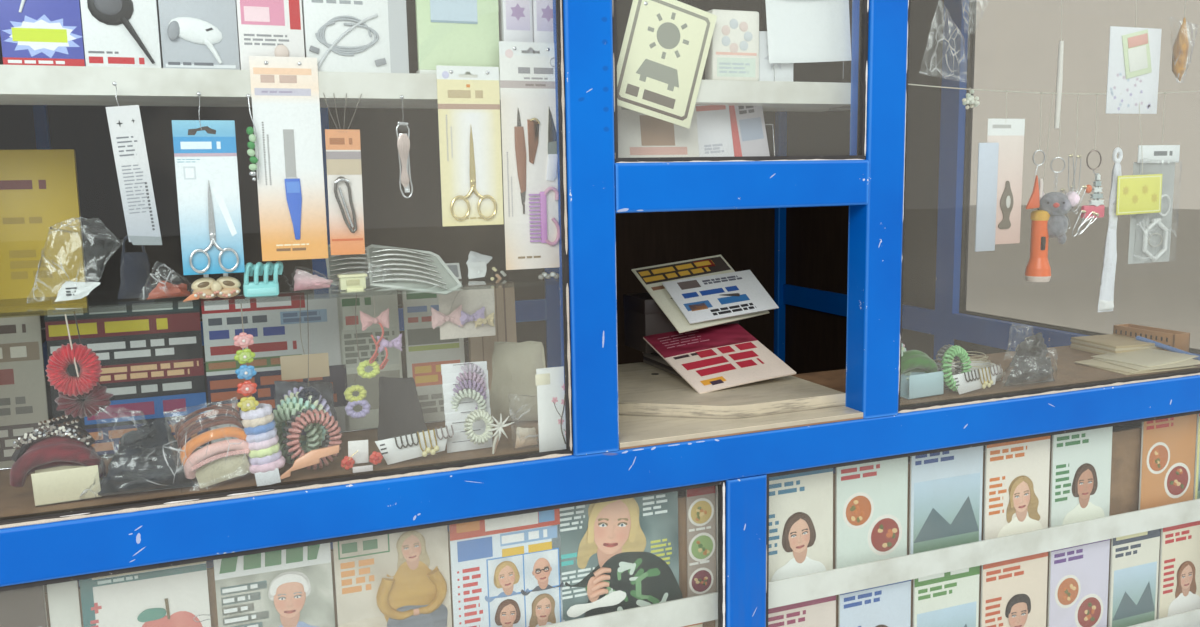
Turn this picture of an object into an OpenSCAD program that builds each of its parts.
// Street kiosk: a glazed steel frame on a tube base, with a serving hatch in the middle of the
// front, display windows on both sides of it, magazine windows below and a flat overhanging roof.
// Front faces -Y, +X is right when seen from the front, origin on the ground under the middle.

/* [Body] */
// width of the body over the corner posts
body_w = 2400; // [1800:10:3200]
// depth of the body over the corner posts
body_d = 1800; // [1400:10:2600]
// height of the base frame
base_h = 100; // [60:5:200]
// width of the base tubes
base_w = 80; // [60:5:120]
// thickness of the floor deck
deck_t = 20; // [12:1:40]

/* [Steel frame] */
// width of the face that each post, rail and mullion shows
member_w = 70; // [50:1:100]
// depth of the rails and mullions behind their face
member_d = 50; // [40:1:70]
// radius of the long front edges of the frame
edge_r = 6; // [2:0.5:10]
// depth of the mullion between the lower windows
lower_mullion_d = 26; // [20:1:50]
// height of the underside of the bottom rails
bottom_rail_z = 430; // [250:5:520]
// height of the top of the sill rails, where the display windows begin
sill_z = 1050; // [900:5:1200]
// clear height of the upper windows
window_h = 1000; // [800:10:1200]

/* [Hatch] */
// clear width of the serving hatch
hatch_w = 425; // [300:5:700]
// clear height of the serving hatch
hatch_h = 342; // [250:2:450]
// thickness of the laminate sill board
sill_board_t = 10; // [8:1:20]
// depth of the sill board from front to back
sill_board_d = 242; // [120:2:300]
// thickness of the seller's counter board
counter_t = 22; // [16:1:30]
// distance from the frame's face to the nose of the counter board
counter_set = 50; // [20:2:90]
// how far the counter's left flank sweeps back from its nose
counter_sweep = 150; // [60:5:200]
// radius of the counter's nose where the flank meets the straight front edge
counter_r = 90; // [30:5:150]
// distance from the frame's face to the back of the counter board
counter_back = 450; // [380:5:600]
// diameter of the cable hole in the counter board
cable_hole_d = 14; // [8:1:30]

/* [Glazing] */
// thickness of the window panes
glass_t = 6; // [4:0.5:8]
// how far the rubber gasket covers the pane's edge
gasket_w = 7; // [5:0.5:18]
// depth of the gasket from front to back
gasket_d = 18; // [12:1:24]
// distance from the frame's face back to the gasket
gasket_set = 8; // [4:0.5:14]

/* [Displays] */
// depth of the display boards behind the sill rail
display_d = 300; // [150:5:360]
// thickness of the display boards and white shelves
display_t = 18; // [12:1:30]
// height of the glass shelf above the sill
glass_shelf_h = 247; // [180:1:320]
// depth of the glass shelf
glass_shelf_d = 210; // [120:5:260]
// height of the white shelf above the sill
white_shelf_h = 500; // [400:5:620]
// depth of the white shelf
white_shelf_d = 170; // [100:5:220]
// thickness of the white shelf's front edge
white_shelf_t = 33; // [16:1:40]
// height of the strip that holds the magazines
magazine_strip_h = 45; // [25:1:80]
// height of the top of the upper magazine strip
upper_row_z = 785; // [720:5:840]
// distance from the frame's face to the magazine racks
rack_set = 38; // [30:1:45]

/* [Roof] */
// overhang of the roof beyond the body on all sides
overhang = 130; // [60:5:250]
// height of the fascia
fascia_h = 330; // [200:5:450]
// thickness of the fascia panels
fascia_t = 30; // [20:1:50]
// rise of the roof cover over its eaves
roof_rise = 70; // [30:5:120]
// distance between the standing seams of the roof cover
seam_pitch = 380; // [250:10:600]
// height of the standing seams
seam_h = 14; // [8:1:30]
// width of the standing seams
seam_w = 10; // [6:1:20]

/* [Hidden] */
$fn = 48;
half_w = body_w / 2;
half_d = body_d / 2;
front_y = -half_d;
rail_top_z = sill_z + window_h;
roof_z = rail_top_z + member_w;
sill_rail_z = sill_z - member_w;
lower_z = bottom_rail_z + member_w;
deck_z = base_h + deck_t;
bay_x = half_w - member_w;
bay_y = half_d - member_w;
hatch_x = hatch_w / 2;
hatch_top_z = sill_z + hatch_h;
transom_z = hatch_top_z + member_w;
mullion_out_x = hatch_x + member_w;
inner_y = front_y + member_d;
infill_t = 24;
infill_set = 10;
rib_t = 6;
door_w = 800;
door_gap = 3;
door_t = 42;
lock_h = 940;
lock_z = deck_z + lock_h;
door_x1 = bay_x;
door_x0 = door_x1 - door_w;
jamb_x0 = door_x0 - member_w;
rear_mid_x = (jamb_x0 - bay_x) / 2;
soffit_t = 16;
eaves_x = half_w + overhang;
eaves_y = half_d + overhang;
fascia_drop = 20;
fascia_z0 = roof_z - fascia_drop;
fascia_top_z = fascia_z0 + fascia_h;
cover_t = 22;
cover_lip = 12;
cover_x = eaves_x + cover_lip;
cover_y = eaves_y + cover_lip;
ridge_x = cover_x - cover_y;
ridge_w = 60;
field_set = 7;
band_h = 60;
nosing_h = 46;
shelf_glass_t = 6;
bracket_t = 4;
board_set = 2;
back_lip_w = gasket_w - 3;
backing_t = 6;
backing_gap = 42;
strip_t = 3;
rack_post_w = 9;
rack_end_t = 3;
rack_tuck = 15;
shelf_end_gap = 10;
cable_hole_set = 335;
hinge_len = 110;
hinge_inset = 200;
hinge_leaf_w = 41;
field_x = 110;
field_z = 130;
rack_y = front_y + rack_set;
post_back_y = front_y + member_w;

// member section with rounded front corners, width along x, front at y 0
module section(w, d) {
    translate([edge_r, 0])
        square([w - 2 * edge_r, d]);
    translate([0, edge_r])
        square([w, d - edge_r]);
    translate([edge_r, edge_r])
        circle(r = edge_r);
    translate([w - edge_r, edge_r])
        circle(r = edge_r);
}

// upright member on the front face from x0, z0 up to z1
module upright(x0, z0, z1, depth = member_d) {
    translate([x0, front_y, z0])
        linear_extrude(z1 - z0)
            section(member_w, depth);
}

// level member on the front face from x0 to x1 with its underside at z0
module level(x0, x1, z0, h = member_w) {
    translate([x0, front_y, z0])
        rotate([90, 0, 90])
            linear_extrude(x1 - x0)
                rotate([0, 0, 90])
                    mirror([0, 1, 0])
                        section(h, member_d);
}

// turns a piece made for the front on to the left side of the body
module on_left() {
    translate([-half_w, 0, 0])
        rotate([0, 0, -90])
            translate([0, half_d, 0])
                children();
}

module on_both_sides() {
    on_left()
        children();
    mirror([1, 0, 0])
        on_left()
            children();
}

// rubber ring that fills the edge of an opening and grips the pane
module gasket(x0, x1, z0, z1) {
    y0 = front_y + gasket_set;
    pane_y = y0 + (gasket_d - glass_t) / 2;
    difference() {
        translate([x0, y0, z0])
            cube([x1 - x0, gasket_d, z1 - z0]);
        translate([x0 + gasket_w, y0 - 1, z0 + gasket_w])
            cube([x1 - x0 - 2 * gasket_w, gasket_d + 2, z1 - z0 - 2 * gasket_w]);
        translate([x0 + back_lip_w, pane_y + glass_t / 2, z0 + back_lip_w])
            cube([x1 - x0 - 2 * back_lip_w, gasket_d, z1 - z0 - 2 * back_lip_w]);
        translate([x0 + gasket_w / 2, pane_y, z0 + gasket_w / 2])
            cube([x1 - x0 - gasket_w, glass_t, z1 - z0 - gasket_w]);
    }
}

// pane that reaches half way into its gasket
module pane(x0, x1, z0, z1) {
    y0 = front_y + gasket_set + (gasket_d - glass_t) / 2;
    translate([x0 + gasket_w / 2, y0, z0 + gasket_w / 2])
        cube([x1 - x0 - gasket_w, glass_t, z1 - z0 - gasket_w]);
}

// steel sandwich panel between frame members, with pressed upright ribs on its outer skin
module ribbed_panel(x0, x1, z0, z1) {
    count = max(2, round((x1 - x0) / 130));
    pitch = (x1 - x0) / count;
    rib_w = pitch * 0.42;
    translate([x0, front_y + infill_set + rib_t, z0])
        cube([x1 - x0, infill_t, z1 - z0]);
    for (i = [0 : count - 1])
        translate([x0 + pitch * (i + 0.5), front_y + infill_set + rib_t, z0 + 25])
            linear_extrude(z1 - z0 - 50)
                polygon([[-rib_w / 2, 1], [-rib_w / 2, 0], [-rib_w / 2 + rib_t, -rib_t],
                    [rib_w / 2 - rib_t, -rib_t], [rib_w / 2, 0], [rib_w / 2, 1]]);
}

// rectangular tube with rounded long edges, lying along x with one corner at the origin
module base_tube(len) {
    rotate([90, 0, 90])
        linear_extrude(len)
            union() {
                translate([edge_r, 0])
                    square([base_w - 2 * edge_r, base_h]);
                translate([0, edge_r])
                    square([base_w, base_h - 2 * edge_r]);
                for (y = [edge_r, base_w - edge_r])
                    for (z = [edge_r, base_h - edge_r])
                        translate([y, z])
                            circle(r = edge_r);
            }
}

// base: two long tubes and two short ones between them, with two bearers under the deck
module base_frame() {
    color("dimgray") {
        translate([-half_w, -half_d, 0])
            base_tube(body_w);
        translate([half_w, half_d, 0])
            rotate([0, 0, 180])
                base_tube(body_w);
        for (x = [-half_w + base_w, -body_w / 6 + base_w / 2, body_w / 6 + base_w / 2, half_w])
            translate([x, edge_r - half_d, 0])
                rotate([0, 0, 90])
                    base_tube(body_d - 2 * edge_r);
    }
}

module floor_deck() {
    color("saddlebrown")
        translate([-bay_x + 0.5, -half_d + member_w, base_h])
            cube([2 * bay_x - 1, body_d - 2 * member_w, deck_t]);
}

module corner_posts() {
    post = member_w;
    color("royalblue")
        for (sx = [-1, 1])
            for (sy = [-1, 1])
                translate([sx * (half_w - post / 2), sy * (half_d - post / 2), base_h])
                    linear_extrude(roof_z - base_h) {
                        square([post - 2 * edge_r, post], center = true);
                        square([post, post - 2 * edge_r], center = true);
                        for (cx = [-1, 1])
                            for (cy = [-1, 1])
                                translate([cx * (post / 2 - edge_r), cy * (post / 2 - edge_r)])
                                    circle(r = edge_r);
                    }
}

module front_bottom_rail() {
    color("royalblue")
        level(-bay_x, bay_x, bottom_rail_z);
}

module front_sill_rail() {
    color("royalblue")
        level(-bay_x, bay_x, sill_rail_z);
}

module front_top_rail() {
    color("royalblue")
        level(-bay_x, bay_x, rail_top_z);
}

module front_mullions() {
    color("royalblue") {
        upright(-mullion_out_x, sill_z, rail_top_z);
        upright(hatch_x, sill_z, rail_top_z);
    }
}

module hatch_transom() {
    color("royalblue")
        level(-hatch_x, hatch_x, hatch_top_z);
}

module lower_mullion() {
    color("royalblue")
        upright(-member_w / 2, lower_z, sill_rail_z, lower_mullion_d);
}

module side_bottom_rails() {
    color("royalblue")
        on_both_sides()
            level(-bay_y, bay_y, bottom_rail_z);
}

module side_sill_rails() {
    color("royalblue")
        on_both_sides()
            level(-bay_y, bay_y, sill_rail_z);
}

module side_top_rails() {
    color("royalblue")
        on_both_sides()
            level(-bay_y, bay_y, rail_top_z);
}

module side_mullions() {
    color("royalblue")
        on_both_sides() {
            upright(-member_w / 2, sill_z, rail_top_z);
            upright(-member_w / 2, lower_z, sill_rail_z);
        }
}

module rear_bottom_rail() {
    color("royalblue")
        mirror([0, 1, 0])
            level(-bay_x, jamb_x0, bottom_rail_z);
}

module rear_sill_rail() {
    color("royalblue")
        mirror([0, 1, 0])
            level(-bay_x, jamb_x0, sill_rail_z);
}

module rear_top_rail() {
    color("royalblue")
        mirror([0, 1, 0])
            level(-bay_x, bay_x, rail_top_z);
}

module rear_mullions() {
    color("royalblue")
        mirror([0, 1, 0]) {
            upright(jamb_x0, base_h, rail_top_z);
            upright(rear_mid_x - member_w / 2, sill_z, rail_top_z);
            upright(rear_mid_x - member_w / 2, lower_z, sill_rail_z);
        }
}

module plinth_panels() {
    color("royalblue") {
        ribbed_panel(-bay_x, bay_x, base_h, bottom_rail_z);
        on_both_sides()
            ribbed_panel(-bay_y, bay_y, base_h, bottom_rail_z);
        mirror([0, 1, 0])
            ribbed_panel(-bay_x, jamb_x0, base_h, bottom_rail_z);
    }
}

module side_panels() {
    color("royalblue")
        on_both_sides() {
            ribbed_panel(member_w / 2, bay_y, lower_z, sill_rail_z);
            ribbed_panel(-bay_y, -member_w / 2, lower_z, sill_rail_z);
            ribbed_panel(-bay_y, -member_w / 2, sill_z, rail_top_z);
        }
}

module rear_panels() {
    left_x = rear_mid_x - member_w / 2;
    right_x = rear_mid_x + member_w / 2;
    color("royalblue")
        mirror([0, 1, 0]) {
            ribbed_panel(-bay_x, left_x, lower_z, sill_rail_z);
            ribbed_panel(right_x, jamb_x0, lower_z, sill_rail_z);
            ribbed_panel(-bay_x, left_x, sill_z, rail_top_z);
            ribbed_panel(right_x, jamb_x0, sill_z, rail_top_z);
        }
}

// pressed groove around a raised field on the door's outer face
module door_field(x0, x1, z0, z1) {
    groove_w = 22;
    groove_d = 5;
    difference() {
        translate([x0, half_d - 6 - groove_d, z0])
            cube([x1 - x0, groove_d + 1, z1 - z0]);
        translate([x0 + groove_w, half_d - 8 - groove_d, z0 + groove_w])
            cube([x1 - x0 - 2 * groove_w, groove_d + 4, z1 - z0 - 2 * groove_w]);
    }
}

module rear_door() {
    z0 = deck_z + 6;
    z1 = rail_top_z - door_gap;
    x0 = door_x0 + door_gap;
    x1 = door_x1 - door_gap;
    color("royalblue")
        difference() {
            translate([x0, half_d - 6 - door_t, z0])
                cube([x1 - x0, door_t, z1 - z0]);
            door_field(x0 + field_x, x1 - field_x, z0 + field_z, lock_z - field_z);
            door_field(x0 + field_x, x1 - field_x, lock_z + field_z, z1 - field_z);
        }
}

module door_threshold() {
    color("silver")
        translate([door_x0, half_d - member_w, base_h])
            cube([door_w, member_w - 6, deck_t + 2]);
}

module door_hinges() {
    barrel_r = 8;
    len = hinge_len;
    color("royalblue")
        for (z = [deck_z + hinge_inset, (deck_z + rail_top_z - len) / 2,
                rail_top_z - hinge_inset - len])
            translate([door_x1, half_d, z]) {
                translate([-1.5, barrel_r + 1, 0])
                    cylinder(r = barrel_r, h = len);
                translate([-hinge_leaf_w - 4, -6, 0])
                    cube([hinge_leaf_w, 4, len]);
                translate([-9, -6, 0])
                    cube([5, 10, len]);
                translate([2, 0, 0])
                    cube([28, 3, len]);
            }
}

module door_handle() {
    plate_w = 40;
    plate_h = 210;
    face_y = half_d - 6;
    x = door_x0 + 60;
    z = lock_z;
    color("silver") {
        translate([x - plate_w / 2, face_y + 4, z - plate_h / 2])
            rotate([90, 0, 0])
                linear_extrude(4)
                    difference() {
                        union() {
                            translate([0, plate_w / 2])
                                square([plate_w, plate_h - plate_w]);
                            translate([plate_w / 2, plate_w / 2])
                                circle(r = plate_w / 2);
                            translate([plate_w / 2, plate_h - plate_w / 2])
                                circle(r = plate_w / 2);
                        }
                        translate([plate_w / 2, 60])
                            circle(r = 4.5);
                        translate([plate_w / 2 - 2, 46])
                            square([4, 14]);
                    }
        translate([x, face_y + 3, z + 35])
            rotate([-90, 0, 0]) {
                cylinder(r = 8.5, h = 42);
                cylinder(r = 15, h = 7);
                translate([0, 0, 32])
                    cylinder(r = 12, h = 18);
            }
        translate([x, face_y + 44, z + 35])
            rotate([0, 90, 0])
                cylinder(r1 = 8, r2 = 6.5, h = 118);
    }
}

module front_glass() {
    color("lightblue", 0.35) {
        pane(-bay_x, -mullion_out_x, sill_z, rail_top_z);
        pane(mullion_out_x, bay_x, sill_z, rail_top_z);
        pane(-hatch_x, hatch_x, transom_z, rail_top_z);
    }
}

module lower_glass() {
    color("lightblue", 0.35) {
        pane(-bay_x, -member_w / 2, lower_z, sill_rail_z);
        pane(member_w / 2, bay_x, lower_z, sill_rail_z);
    }
}

module side_glass() {
    color("lightblue", 0.35)
        on_both_sides()
            pane(member_w / 2, bay_y, sill_z, rail_top_z);
}

module front_gaskets() {
    color("black") {
        gasket(-bay_x, -mullion_out_x, sill_z, rail_top_z);
        gasket(mullion_out_x, bay_x, sill_z, rail_top_z);
        gasket(-hatch_x, hatch_x, transom_z, rail_top_z);
    }
}

module lower_gaskets() {
    color("black") {
        gasket(-bay_x, -member_w / 2, lower_z, sill_rail_z);
        gasket(member_w / 2, bay_x, lower_z, sill_rail_z);
    }
}

module side_gaskets() {
    color("black")
        on_both_sides()
            gasket(member_w / 2, bay_y, sill_z, rail_top_z);
}

module sill_board() {
    color("gainsboro")
        translate([-hatch_x, front_y + board_set, sill_z])
            cube([hatch_w, sill_board_d, sill_board_t]);
}

// counter board: straight nose on the right, left flank swept back, round nose between them
module counter_board() {
    nose_y = front_y + counter_set;
    flank_y = nose_y + counter_sweep;
    back_y = front_y + counter_back;
    angle = atan2(counter_sweep, hatch_x);
    arc_x = counter_r * tan(angle / 2);
    color("antiquewhite")
        translate([0, 0, sill_z + sill_board_t])
            difference() {
                union() {
                    linear_extrude(counter_t)
                        polygon([[-hatch_x, flank_y], [-hatch_x, back_y], [hatch_x, back_y],
                            [hatch_x, nose_y], [arc_x, nose_y], [arc_x, nose_y + counter_r],
                            [arc_x - counter_r * sin(angle), nose_y + counter_r * (1 - cos(angle))]]);
                    translate([arc_x, nose_y + counter_r, 0])
                        cylinder(r = counter_r + 0.05, h = counter_t);
                }
                translate([-2, front_y + cable_hole_set, -1])
                    cylinder(d = cable_hole_d, h = counter_t + 2);
            }
}

module display_boards() {
    color("peru") {
        translate([-bay_x, inner_y, sill_z - display_t])
            cube([bay_x - hatch_x, display_d, display_t]);
        translate([hatch_x, inner_y, sill_z - display_t])
            cube([bay_x - hatch_x, display_d, display_t]);
    }
}

// the left window alone has a glass shelf
module glass_shelves() {
    z = sill_z + glass_shelf_h - shelf_glass_t;
    color("lightblue", 0.35) {
        translate([-bay_x, inner_y, z])
            cube([bay_x - hatch_x, glass_shelf_d, shelf_glass_t]);
    }
}

// one long shelf from the left post to the back of the right mullion, and a short one behind the
// hatch's transom
module white_shelves() {
    color("white") {
        translate([-bay_x, inner_y, sill_z + white_shelf_h])
            cube([bay_x + mullion_out_x - shelf_end_gap, white_shelf_d, white_shelf_t]);
        translate([-hatch_x, inner_y, transom_z - display_t])
            cube([hatch_w, 150, display_t]);
    }
}

// small angle that carries a shelf at height z on the back of a mullion
module shelf_angle(x, z) {
    translate([x - 12, inner_y, z])
        rotate([90, 0, 90])
            linear_extrude(24)
                polygon([[0, 0], [90, 0], [90, -bracket_t], [bracket_t + 6, -bracket_t],
                    [bracket_t, -bracket_t - 6], [bracket_t, -45], [0, -45]]);
}

// triangular steel bracket on the back of the sill rail, under a board with its underside at top_z
module board_bracket(x, top_z, reach) {
    foot = top_z - sill_rail_z - 3;
    plate_t = 5;
    translate([x - plate_t / 2, inner_y, top_z])
        rotate([90, 0, 90])
            linear_extrude(plate_t)
                polygon([[0, 0], [reach, 0], [reach, -10], [12, -foot], [0, -foot]]);
}

module shelf_brackets() {
    glass_z = sill_z + glass_shelf_h - shelf_glass_t;
    white_z = sill_z + white_shelf_h;
    display_w = bay_x - hatch_x;
    cleat_w = 12;
    color("lightgray") {
        shelf_angle(-hatch_x - member_w / 2, glass_z);
        for (z = [glass_z, white_z])
            translate([-bay_x, inner_y, z - cleat_w])
                cube([cleat_w, white_shelf_d - 20, cleat_w]);
        for (side = [-1, 1]) {
            shelf_angle(side * (hatch_x + member_w / 2), white_z);
            board_bracket(side * (hatch_x - 52), sill_z, sill_board_d - 30);
            for (share = [0.12, 0.5, 0.88])
                board_bracket(side * (hatch_x + share * display_w), sill_z - display_t,
                    display_d - 60);
        }
    }
}

module magazine_backing() {
    color("peru")
        translate([-bay_x - 15, post_back_y, lower_z - 20])
            cube([2 * bay_x + 30, backing_t, sill_rail_z - lower_z + 20 - backing_gap]);
}

// folded strip with an upright lip in front of the magazines' feet
module magazine_strip(x0, x1, top_z) {
    translate([x0, rack_y, top_z - magazine_strip_h])
        cube([x1 - x0, strip_t, magazine_strip_h]);
    translate([x0, rack_y, top_z - magazine_strip_h])
        cube([x1 - x0, post_back_y - rack_y, strip_t]);
}

// rack upright, wide wide
module rack_upright(x, wide) {
    translate([x, rack_y, lower_z + 4])
        cube([wide, post_back_y - rack_y, sill_rail_z - lower_z - 16]);
}

// rack of the left lower window: an upright beside the corner post, a thin one behind the middle
// mullion, and two strips between them
module magazine_rack() {
    x1 = rack_end_t - member_w / 2 + rack_tuck;
    rack_upright(-bay_x, rack_post_w);
    rack_upright(x1 - rack_end_t, rack_end_t);
    magazine_strip(-bay_x, x1, upper_row_z);
    magazine_strip(-bay_x, x1, lower_z + 4 + magazine_strip_h);
}

module magazine_racks() {
    color("whitesmoke") {
        magazine_rack();
        mirror([1, 0, 0])
            magazine_rack();
    }
}

module ceiling_panel() {
    color("whitesmoke")
        translate([-eaves_x + fascia_t, -eaves_y + fascia_t, roof_z])
            cube([2 * (eaves_x - fascia_t), 2 * (eaves_y - fascia_t), soffit_t]);
}

// fascia section: half-round nosing below, recessed field, flat band under the eaves
module fascia_section() {
    r = fascia_t / 2;
    field_t = fascia_t - field_set;
    translate([field_set, r])
        square([field_t, fascia_h - r]);
    translate([r, r])
        circle(r = r);
    translate([0, fascia_h - band_h])
        square([fascia_t, band_h]);
    translate([0, r])
        square([fascia_t, nosing_h - r]);
}

// fascia on the front edge with its ends mitred at 45 degrees
module fascia_run(reach_x, reach_y) {
    difference() {
        translate([-reach_x, -reach_y, fascia_z0])
            rotate([90, 0, 90])
                linear_extrude(2 * reach_x)
                    fascia_section();
        for (side = [-1, 1])
            translate([side * reach_x, -reach_y, fascia_z0 - 5])
                rotate([0, 0, side * 45])
                    translate([side < 0 ? -100 : 0, -100, 0])
                        cube([100, 300, fascia_h + 10]);
    }
}

module front_fascia() {
    color("royalblue")
        fascia_run(eaves_x, eaves_y);
}

module rear_fascia() {
    color("royalblue")
        mirror([0, 1, 0])
            fascia_run(eaves_x, eaves_y);
}

module side_fascias() {
    color("royalblue")
        for (angle = [-90, 90])
            rotate([0, 0, angle])
                fascia_run(eaves_y, eaves_x);
}

// low hip: two gabled prisms crossed over each other, with its slopes lifted by lift
module hip(lift) {
    top = cover_t + lift;
    intersection() {
        translate([0, cover_y, 0])
            rotate([90, 0, 0])
                linear_extrude(2 * cover_y)
                    polygon([[-cover_x, 0], [cover_x, 0], [cover_x, top],
                        [ridge_x, top + roof_rise], [-ridge_x, top + roof_rise], [-cover_x, top]]);
        translate([-cover_x, 0, 0])
            rotate([90, 0, 90])
                linear_extrude(2 * cover_x)
                    polygon([[-cover_y, 0], [cover_y, 0], [cover_y, top], [0, top + roof_rise],
                        [-cover_y, top]]);
    }
}

// plan of the standing seams of one slope, from its eave up to its top edge
module slope_seams(eave, depth, top, top_depth) {
    intersection() {
        polygon([[-eave, -depth], [eave, -depth], [top, -top_depth], [-top, -top_depth]]);
        for (i = [-3:2])
            translate([(i + 0.5) * seam_pitch - seam_w / 2, -depth])
                square([seam_w, depth]);
    }
}

// sheet cover with standing seams, and a cap along the ridge and each hip
module roof_cover() {
    color("lightsteelblue")
        translate([0, 0, fascia_top_z]) {
            hip(0);
            intersection() {
                hip(seam_h);
                linear_extrude(cover_t + roof_rise + seam_h + 1)
                    for (turn = [0, 180])
                        rotate(turn) {
                            slope_seams(cover_x, cover_y, ridge_x, 0);
                            rotate(90)
                                slope_seams(cover_y, cover_x, 1, ridge_x);
                            for (side = [-1, 1])
                                translate([side * ridge_x, 0])
                                    rotate(side < 0 ? -135 : -45)
                                        translate([-ridge_w / 2, -ridge_w / 2])
                                            square([cover_x + cover_y, ridge_w]);
                            translate([-ridge_x, -ridge_w / 2])
                                square([2 * ridge_x, ridge_w]);
                        }
            }
        }
}

base_frame();
floor_deck();
corner_posts();
front_bottom_rail();
front_sill_rail();
front_top_rail();
front_mullions();
hatch_transom();
lower_mullion();
side_bottom_rails();
side_sill_rails();
side_top_rails();
side_mullions();
rear_bottom_rail();
rear_sill_rail();
rear_top_rail();
rear_mullions();
plinth_panels();
side_panels();
rear_panels();
rear_door();
door_hinges();
door_handle();
door_threshold();
front_glass();
lower_glass();
side_glass();
front_gaskets();
lower_gaskets();
side_gaskets();
sill_board();
counter_board();
display_boards();
glass_shelves();
white_shelves();
shelf_brackets();
magazine_backing();
magazine_racks();
ceiling_panel();
front_fascia();
rear_fascia();
side_fascias();
roof_cover();
